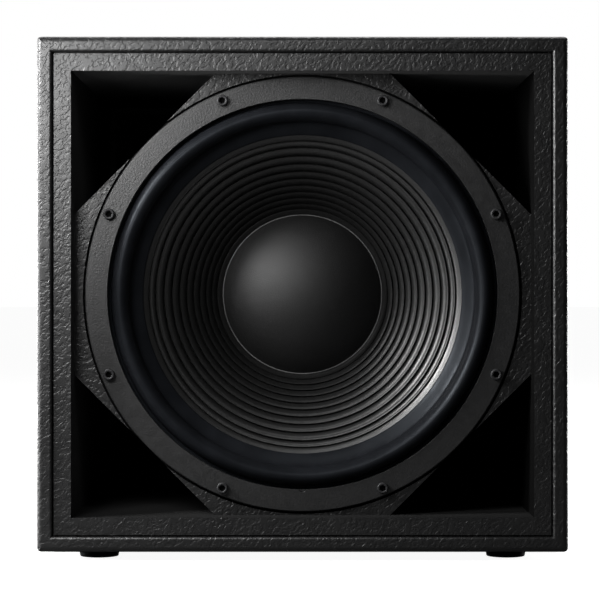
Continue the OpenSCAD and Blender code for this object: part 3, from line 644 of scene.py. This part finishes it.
surround = piece("surround_roll", *lathe_mesh(surround_profile(), driver_place, 240), "surround_rubber",
                 ("surround",), body=None, sharp_degrees=60)


# How steeply a rib climbs outwards at shares of its width. The outermost has a steep wall, a shoulder, a
# flat back with a small kink and a short drop into the next groove, and the innermost is a plain hump.
OUTER_CLIMB = ((0, 5.0), (0.08, 3.0), (0.2, 1.05), (0.35, 0.46), (0.46, 0.25), (0.56, -0.15), (0.64, -0.15),
               (0.72, 0.2), (0.79, 0.15), (0.83, -0.5), (0.86, -2.6), (1, -2.8))
INNER_CLIMB = ((0, 2.1), (0.83, 0.2), (0.86, -2.4), (1, -2.6))
RIB_STEPS = 24


def climb_at(t, stops):
    for (low, start), (high, end) in zip(stops, stops[1:]):
        if t <= high:
            return start + (end - start) * (t - low) / (high - low)
    return stops[-1][1]


def rib_rise(outward):
    """A rib's height above the line between its grooves at each step across it, as a share of its width.

    Outward is 0 for the innermost rib and 1 for the outermost.
    """
    heights = [0.0]
    for i in range(RIB_STEPS):
        t = (i + 0.5) / RIB_STEPS
        climb = outward * climb_at(t, OUTER_CLIMB) + (1 - outward) * climb_at(t, INNER_CLIMB)
        heights.append(heights[-1] + climb / RIB_STEPS)
    return [h - heights[-1] * i / RIB_STEPS for i, h in enumerate(heights)]


def rib_profile():
    out = []
    for k in range(WIDE_RIBS + 1):
        low, high = groove_r(k), groove_r(k + 1)
        rise = rib_rise(min(k / (WIDE_RIBS - 1), 1))
        for i in range(RIB_STEPS):
            r = low + (high - low) * i / RIB_STEPS
            out.append((r, slope_h(r) - RIB_DEPTH + (high - low) * rise[i]))
    out.append((RIB_OUT, slope_h(RIB_OUT) - RIB_DEPTH))
    return out


def cone_profile():
    top = [(r, slope_h(r)) for r in (NECK_R, 60, CAP_R, RIB_IN - GROOVE_LIP)]
    top += [(RIB_IN - 0.3, slope_h(RIB_IN) - 0.7)]
    top += rib_profile()
    top += [(RIB_OUT + 0.25, slope_h(RIB_OUT) - 0.7), (RIB_OUT + 0.5, slope_h(RIB_OUT) - 0.1)]
    top += [(r, slope_h(r)) for r in (RIB_OUT + GROOVE_LIP, 141, 144, 147, 150, CONE_OUT)]
    under = [(r, h - PAPER_T) for r, h in reversed(top)]
    return top + under


piece("ribbed_cone", *lathe_mesh(cone_profile(), driver_place, 240), "cone_paper", ("cone",), MOVING,
      sharp_degrees=60)

CAP_RISE = 28.0
CAP_T = 1.2
CAP_STEPS = 40
CAP_BASE = slope_h(CAP_R) + 0.1
DOME_R = (CAP_R ** 2 + CAP_RISE ** 2) / (2 * CAP_RISE)


def cap_profile():
    def dome(r, ball):
        return CAP_BASE + CAP_RISE - DOME_R + math.sqrt(ball * ball - r * r)

    inner_ball = DOME_R - CAP_T
    inner_edge = math.sqrt(inner_ball ** 2 - (DOME_R - CAP_RISE) ** 2)
    turns = [math.pi / 2 * i / CAP_STEPS for i in range(CAP_STEPS + 1)]
    outer_radii = [max(CAP_R * math.sin(turn), AXIS_GAP) for turn in turns]
    inner_radii = [inner_edge * math.cos(turn) + AXIS_GAP for turn in turns]
    top = [(r, dome(r, DOME_R)) for r in outer_radii]
    under = [(r, dome(min(r, inner_edge), inner_ball)) for r in inner_radii]
    return top + under


piece("dust_cap_dome", *lathe_mesh(cap_profile(), driver_place, 160), "dust_cap_paper", ("dust_cap",), MOVING,
      sharp_degrees=60)
bead_profile = arc(CAP_R - 0.1, CAP_BASE + 0.25, 0.5, 0, 337.5, 15)
bead_look = speckled("glue_bead_look", (0.10, 0.10, 0.10), (0.17, 0.17, 0.17), 0.4, 900)
piece("dust_cap_glue_bead", *lathe_mesh(bead_profile, driver_place, 240), "dust_cap_paper", (), MOVING,
      sharp_degrees=80, look=bead_look)


# ---- driver: spider, voice coil and leads ----

# Radii and heights in mm, as for the cone. The pot is the basket's middle, which holds the spider.
SPIDER_IN, SPIDER_FLAT, POT_IN, POT_OUT, POT_TOP = 50.3, 56.0, 86.0, 95.0, -78.0
SPIDER_CUP, SPIDER_WAVE, SPIDER_WAVES, SPIDER_T = 5.0, 1.5, 5, 0.8


def spider_profile():
    def height(share):
        return POT_TOP + SPIDER_CUP * (1 - share) + SPIDER_WAVE * math.sin(share * SPIDER_WAVES * TAU)

    steps = 80
    top = [(SPIDER_IN, height(0))]
    top += [(SPIDER_FLAT + (POT_IN - SPIDER_FLAT) * i / steps, height(i / steps)) for i in range(steps + 1)]
    top += [(POT_OUT, POT_TOP)]
    return [(r, h + SPIDER_T) for r, h in top] + [(r, h) for r, h in reversed(top)]


spider = piece("spider_waves", *lathe_mesh(spider_profile(), driver_place, 128), "spider_cloth", ("spider",),
               body=None, sharp_degrees=70)

COIL_IN, COIL_OUT, COIL_LOW, COIL_HIGH = 50.02, 51.0, -115.0, -95.0
COIL_TURNS, COIL_VALLEY = 26, 0.35


def coil_profile():
    out = [(COIL_IN, COIL_LOW)]
    pitch = (COIL_HIGH - COIL_LOW) / COIL_TURNS
    for k in range(COIL_TURNS):
        low = COIL_LOW + k * pitch
        out += [(COIL_OUT - COIL_VALLEY, low + 0.01)]
        out += [(COIL_OUT, low + 0.3 * pitch), (COIL_OUT, low + 0.7 * pitch)]
    out += [(COIL_OUT - COIL_VALLEY, COIL_HIGH), (COIL_IN, COIL_HIGH)]
    return out


piece("voice_coil_turns", *lathe_mesh(coil_profile(), driver_place, 96), "copper_winding", ("voice_coil",),
      MOVING, sharp_degrees=70)

TERMINAL_TURN = math.radians(-67.5)
TERMINAL_R, TERMINAL_T, FLOOR_H = 97.5, 2.5, -94.0
LEAD_SIDE, LEAD_R, LEAD_END = 10.0, 1.0, 92.0


def lead_route(side):
    """A lead's way from the terminal board to the back of the cone, as in the CAD model."""
    start = TERMINAL_R + TERMINAL_T + 2.2
    stops = (
        (start, LEAD_SIDE, FLOOR_H + 6),
        (start + 3, LEAD_SIDE, FLOOR_H + 20),
        (start + 6, LEAD_SIDE + 1, FLOOR_H + 34),
        (start + 2, LEAD_SIDE + 1, FLOOR_H + 45),
        (LEAD_END, LEAD_SIDE, slope_h(LEAD_END) - PAPER_T - RIB_DEPTH - LEAD_R - 1),
    )
    points = []
    for r, across, h in stops:
        x = r * math.cos(TERMINAL_TURN) - side * across * math.sin(TERMINAL_TURN)
        z = r * math.sin(TERMINAL_TURN) + side * across * math.cos(TERMINAL_TURN)
        points.append(Vector((x * MM, SEAT_Y - h * MM, AXIS_Z + z * MM)))
    return smooth_route(points, 8)


leads = []
for side, node in ((1, "tinsel_lead_positive"), (-1, "tinsel_lead_negative")):
    leads.append(piece(node + "_braid", *swept_mesh(lead_route(side), LEAD_R * MM, 12, Vector((1, 0, 0))),
                       "tinsel_braid", (node,), body=None))


# ---- driver: bolts ----

# Sizes in mm. The last three values bound the hexagon's faces that get painted shade: radius, and depths
# below the head's top.
SCREW_CIRCLE, SCREW_COUNT = 186.5, 8
BOLT_R, BOLT_LOW, BOLT_HIGH, BOLT_ROUND = 5.0, 9.0, 15.0, 1.1
BOLT_STEM_R, BOLT_END = 3.0, -14.0
HEX_FLAT, HEX_DEPTH = 2.5, 2.9
PAINTED_SHADE_R, PAINTED_SHADE_LOW, PAINTED_SHADE_HIGH = 3.1, 3.5, 0.4


def hexagon(flat):
    """Radius of a hexagon at each angle, from the distance of its flats."""
    return lambda angle: flat / math.cos((angle + math.pi / 6) % (math.pi / 3) - math.pi / 6)


def screw_turn(k):
    """Angle of screw k round the driver."""
    return math.radians(180 / SCREW_COUNT + k * 360 / SCREW_COUNT)


def bolt_mesh(k):
    turn = screw_turn(k)
    outward, along_rim = (math.cos(turn), 0, math.sin(turn)), (-math.sin(turn), 0, math.cos(turn))
    place = axis_place(driver_place(SCREW_CIRCLE, 0, turn), outward, along_rim, (0, -1, 0))
    profile = [(AXIS_GAP, BOLT_HIGH - HEX_DEPTH - 0.5), (hexagon(0.8), BOLT_HIGH - HEX_DEPTH - 0.3),
               (hexagon(HEX_FLAT), BOLT_HIGH - HEX_DEPTH), (hexagon(HEX_FLAT), BOLT_HIGH - 0.45),
               (hexagon(HEX_FLAT + 0.12), BOLT_HIGH - 0.28), (3.25, BOLT_HIGH - 0.12),
               (3.6, BOLT_HIGH - 0.02)]
    profile += arc(BOLT_R - BOLT_ROUND, BOLT_HIGH - BOLT_ROUND, BOLT_ROUND, 90, 0, 6)
    profile += [(BOLT_R, BOLT_LOW + 0.3), (BOLT_R - 0.3, BOLT_LOW), (BOLT_STEM_R, BOLT_LOW),
                (BOLT_STEM_R, BOLT_END + 0.6), (BOLT_STEM_R - 0.6, BOLT_END), (AXIS_GAP, BOLT_END)]
    return lathe_mesh(profile, place, 48)


bolts = piece("driver_bolts", *join(*(bolt_mesh(k) for k in range(SCREW_COUNT))), "driver_bolts",
              ("driver_screws",), sharp_degrees=38)

# The faces inside each hexagon get painted shade: near black and almost without gloss, darker than the rest
# of the screw.
bolts.data.materials.append(grained("bolt_socket_painted_shade_look", (0.001, 0.001, 0.001), (0.002, 0.002, 0.002),
                                    0.7, 1500, 0.02 * MM, specular=0.05))
for face in bolts.data.polygons:
    height = (SEAT_Y - face.center.y) / MM
    axes = [driver_place(SCREW_CIRCLE, height, screw_turn(k)) for k in range(SCREW_COUNT)]
    off_axis = min((face.center - axis).length for axis in axes)
    if BOLT_HIGH - PAINTED_SHADE_LOW < height < BOLT_HIGH - PAINTED_SHADE_HIGH and off_axis < PAINTED_SHADE_R * MM:
        face.material_index = 1

refined("driver_clamp_ring", 0.45)


# ---- feet ----

# Sizes in mm. The recess below holds the washer and the screw.
FOOT_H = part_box("foot_front_left")[1].z / MM
FOOT_BORE, FOOT_RECESS, FOOT_FLOOR = 2.8, 8.0, 4.5


def foot_mesh(x, y):
    place = axis_place((x, y, 0), (1, 0, 0), (0, 1, 0), (0, 0, 1))
    profile = [(FOOT_BORE, FOOT_FLOOR), (FOOT_RECESS, FOOT_FLOOR), (FOOT_RECESS, 0.5)]
    profile += [(8.4, 0.05), (16.2, 0.0)]
    profile += arc(16.4, 0.9, 0.9, -90, -8, 4)
    profile += [(17.6, 2.4), (18.0, 4.2), (18.3, 6.2), (18.5, 7.6)]
    profile += [(18.4, FOOT_H - 0.25), (18.2, FOOT_H), (FOOT_BORE, FOOT_H)]
    return lathe_mesh(profile, place, 72)


for node in ("foot_front_left", "foot_front_right", "foot_rear_left", "foot_rear_right"):
    low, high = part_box(node)
    piece(node + "_moulding", *foot_mesh((low.x + high.x) / 2, (low.y + high.y) / 2), "foot_rubber", (node,))


# ---- handles ----

# Sizes in mm
GRIP_R, GRIP_LENGTH, GRIP_RINGS = 11.0, 144.0, 30
SLEEVE_R, STUB_R, VALLEY_R = GRIP_R - 0.1, GRIP_R - 2, GRIP_R - 0.9


def grip_mesh(x, z):
    """A bar with a rubber sleeve that has rings of ribs, lying along the box's depth."""
    place = axis_place((x, 0, z), (1, 0, 0), (0, 0, 1), (0, 1, 0))
    half = GRIP_LENGTH / 2
    start, end = -half + 9, half - 9
    pitch = (end - start) / GRIP_RINGS
    sleeve_end = [(STUB_R, half), (STUB_R, half - 5), (GRIP_R - 0.6, half - 5.6), (SLEEVE_R, half - 6.6)]
    profile = [(AXIS_GAP, -half)] + [(r, -h) for r, h in sleeve_end] + [(SLEEVE_R, start)]
    for k in range(GRIP_RINGS):
        low = start + k * pitch
        profile += [(VALLEY_R, low + 0.15 * pitch), (VALLEY_R, low + 0.35 * pitch),
                    (SLEEVE_R, low + 0.5 * pitch), (GRIP_R, low + 0.75 * pitch), (SLEEVE_R, low + pitch)]
    profile += sleeve_end[::-1] + [(AXIS_GAP, half)]
    return lathe_mesh(profile, place, 40)


for node in ("left_handle_grip", "right_handle_grip"):
    low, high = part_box(node)
    piece(node + "_sleeve", *grip_mesh((low.x + high.x) / 2, (low.z + high.z) / 2), "grip_rubber", (node,))

for node in ("left_handle_cup", "right_handle_cup"):
    refined(node, 1.0, 3)


# ---- back: plate and sockets ----

refined("input_plate", 0.4)
for node in ("input_socket", "link_socket"):
    refined(node, 0.3)
refined("pole_socket_flange", 0.5)


# ---- motor and basket ----

refined("driver_basket", 0.8)
refined("magnet", 1.4, 3)
refined("back_plate", 1.2, 3)
refined("top_plate", 0.6)


# ---- inside: foam ----

# Sizes in metres. The window is the CAD model's, 120 by 84 mm.
foam_low, foam_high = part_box("rear_foam")
FOAM_PITCH, FOAM_WAVE = 0.0245, 0.0062
FOAM_SQUARES_X, FOAM_SQUARES_Z = 84, 82
WINDOW_X, WINDOW_LOW, WINDOW_HIGH = 0.060, AXIS_Z - 0.147, AXIS_Z - 0.063


def foam_mesh():
    """An egg-crate sheet with a flat back and a window round the sockets."""
    nx, nz = FOAM_SQUARES_X, FOAM_SQUARES_Z
    front, back = {}, {}
    verts, faces = [], []
    for i in range(nx + 1):
        for j in range(nz + 1):
            x = foam_low.x + (foam_high.x - foam_low.x) * i / nx
            z = foam_low.z + (foam_high.z - foam_low.z) * j / nz
            wave = math.sin(TAU * x / FOAM_PITCH) * math.sin(TAU * z / FOAM_PITCH)
            front[i, j] = len(verts)
            verts.append(Vector((x, foam_low.y + FOAM_WAVE * (1 - wave), z)))
            back[i, j] = len(verts)
            verts.append(Vector((x, foam_high.y, z)))

    def kept(i, j):
        if not (0 <= i < nx and 0 <= j < nz):
            return False
        x = foam_low.x + (foam_high.x - foam_low.x) * (i + 0.5) / nx
        z = foam_low.z + (foam_high.z - foam_low.z) * (j + 0.5) / nz
        return not (abs(x) < WINDOW_X and WINDOW_LOW < z < WINDOW_HIGH)

    for i in range(nx):
        for j in range(nz):
            if not kept(i, j):
                continue
            corners = ((i, j), (i + 1, j), (i + 1, j + 1), (i, j + 1))
            faces.append(tuple(front[c] for c in corners))
            faces.append(tuple(back[c] for c in reversed(corners)))
            for side, (di, dj) in enumerate(((0, -1), (1, 0), (0, 1), (-1, 0))):
                if not kept(i + di, j + dj):
                    a, b = corners[side], corners[(side + 1) % 4]
                    faces.append((front[a], back[a], back[b], front[b]))
    used = sorted({v for face in faces for v in face})
    index = {old: new for new, old in enumerate(used)}
    return [verts[v] for v in used], [tuple(index[v] for v in face) for face in faces]


foam_sheet = piece("rear_foam_sheet", *foam_mesh(), "foam", ("rear_foam",), sharp_degrees=50)


# ---- pieces that bend ----

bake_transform(surround)
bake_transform(spider)
for lead in leads:
    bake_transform(lead)


# ---- stage ----

FLOOR_GLOW, FLOOR_TONE, BOUNCE_TONE = 0.93, 0.8, 0.10
FLOOR_HALF = 40.0


def floor_look():
    """Pale where the camera sees it, and dim in what it throws back onto the object."""
    material = bpy.data.materials.new("floor_look")
    material.use_nodes = True
    tree = material.node_tree
    tree.nodes.clear()
    out = tree.nodes.new("ShaderNodeOutputMaterial")
    glow = tree.nodes.new("ShaderNodeEmission")
    glow.inputs["Strength"].default_value = FLOOR_GLOW
    matt = tree.nodes.new("ShaderNodeBsdfDiffuse")
    matt.inputs["Color"].default_value = (FLOOR_TONE, FLOOR_TONE, FLOOR_TONE, 1)
    both = tree.nodes.new("ShaderNodeAddShader")
    choose = tree.nodes.new("ShaderNodeMixShader")
    path = tree.nodes.new("ShaderNodeLightPath")
    tree.links.new(glow.outputs[0], both.inputs[0])
    tree.links.new(matt.outputs[0], both.inputs[1])
    dim = tree.nodes.new("ShaderNodeBsdfDiffuse")
    dim.inputs["Color"].default_value = (BOUNCE_TONE, BOUNCE_TONE, BOUNCE_TONE, 1)
    tree.links.new(path.outputs["Is Camera Ray"], choose.inputs[0])
    tree.links.new(dim.outputs[0], choose.inputs[1])
    tree.links.new(both.outputs[0], choose.inputs[2])
    tree.links.new(choose.outputs[0], out.inputs[0])
    return material


floor_mesh = bpy.data.meshes.new("floor")
floor_corners = [(x * FLOOR_HALF, y * FLOOR_HALF, 0) for x, y in ((-1, -1), (1, -1), (1, 1), (-1, 1))]
floor_mesh.from_pydata(floor_corners, [], [(0, 1, 2, 3)])
floor = bpy.data.objects.new("floor", floor_mesh)
bpy.context.scene.collection.objects.link(floor)
floor_mesh.materials.append(floor_look())
floor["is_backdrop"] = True


# ---- light ----

def softbox(name, position, aim, width, height, power):
    """A rectangular light, in metres and watts, that the camera doesn't see."""
    data = bpy.data.lights.new(name, "AREA")
    data.shape = "RECTANGLE"
    data.size, data.size_y, data.energy = width, height, power
    lamp = bpy.data.objects.new(name, data)
    lamp.location = position
    lamp.rotation_euler = (Vector(aim) - Vector(position)).to_track_quat("-Z", "Y").to_euler()
    lamp.visible_camera = False
    bpy.context.scene.collection.objects.link(lamp)


centre = Vector((0, SEAT_Y, AXIS_Z))


def from_front(azimuth, tilt, distance):
    """A point at a distance from the driver's middle: azimuth as seen from the front, tilt from the axis."""
    azimuth, tilt = math.radians(azimuth), math.radians(tilt)
    aside = math.sin(tilt)
    return centre + distance * Vector((aside * math.cos(azimuth), -math.cos(tilt), aside * math.sin(azimuth)))


softbox("key", from_front(145, 40, 0.64), centre, 0.22, 0.22, 2.0)
softbox("top_key", from_front(98, 42, 0.64), centre, 0.22, 0.22, 0.35)
softbox("side_key", from_front(150, 72, 0.75), centre, 0.2, 0.2, 6.6)
softbox("top_fill", (0.2, 0.9, 2.2), (0, 0.1, 0.45), 1.6, 1.2, 25)
softbox("rear_fill", (-0.9, 2.4, 0.35), (0, 0.25, 0.25), 1.4, 0.7, 50)
softbox("left_fill", (-2.0, 0.9, 0.35), (-0.2, 0.1, 0.25), 1.0, 0.7, 40)
softbox("left_edge_strip", (-0.5, FRONT_Y - 0.07, AXIS_Z), (0, FRONT_Y, AXIS_Z), 0.14, 0.42, 1.0)
softbox("right_fill", (2.0, 1.6, 0.35), (0.2, 0.1, 0.25), 1.0, 0.7, 40)

FRONT_ROOM, BACK_ROOM = 0.03, 0.10


def studio_world():
    """White behind the object for the camera, and for the object a dim room that is lighter at the back."""
    world = bpy.data.worlds.new("studio")
    world.use_nodes = True
    tree = world.node_tree
    tree.nodes.clear()
    output = tree.nodes.new("ShaderNodeOutputWorld")
    white = tree.nodes.new("ShaderNodeBackground")
    room = tree.nodes.new("ShaderNodeBackground")
    for background in (white, room):
        background.inputs["Color"].default_value = (1, 1, 1, 1)
    direction = tree.nodes.new("ShaderNodeTexCoord")
    split = tree.nodes.new("ShaderNodeSeparateXYZ")
    level = tree.nodes.new("ShaderNodeMapRange")
    level.interpolation_type = "SMOOTHSTEP"
    for socket, value in zip(level.inputs[1:5], (-0.05, 0.9, FRONT_ROOM, BACK_ROOM)):
        socket.default_value = value
    path = tree.nodes.new("ShaderNodeLightPath")
    choose = tree.nodes.new("ShaderNodeMixShader")
    tree.links.new(direction.outputs["Generated"], split.inputs[0])
    tree.links.new(split.outputs["Y"], level.inputs[0])
    tree.links.new(level.outputs[0], room.inputs["Strength"])
    tree.links.new(path.outputs["Is Camera Ray"], choose.inputs[0])
    tree.links.new(room.outputs[0], choose.inputs[1])
    tree.links.new(white.outputs[0], choose.inputs[2])
    tree.links.new(choose.outputs[0], output.inputs[0])
    return world


bpy.context.scene.world = studio_world()


# ---- camera ----

# The shifts are shares of the picture's width.
CAMERA_DISTANCE = 2.0
SENSOR_WIDTH, FOCAL_LENGTH = 36.0, 136.5
SHIFT_X, SHIFT_Y = -0.0041667, -0.0095

camera_data = bpy.data.cameras.new("camera")
camera_data.sensor_width = SENSOR_WIDTH
camera_data.lens = FOCAL_LENGTH
camera_data.shift_x = SHIFT_X
camera_data.shift_y = SHIFT_Y
camera = bpy.data.objects.new("camera", camera_data)
camera.location = (0, FRONT_Y - CAMERA_DISTANCE, AXIS_Z)
camera.rotation_euler = (math.pi / 2, 0, 0)
bpy.context.scene.collection.objects.link(camera)
bpy.context.scene.camera = camera
bpy.context.scene.view_settings.view_transform = "Standard"

[[list(corner) for corner in box] for box in (cad_box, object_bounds())]
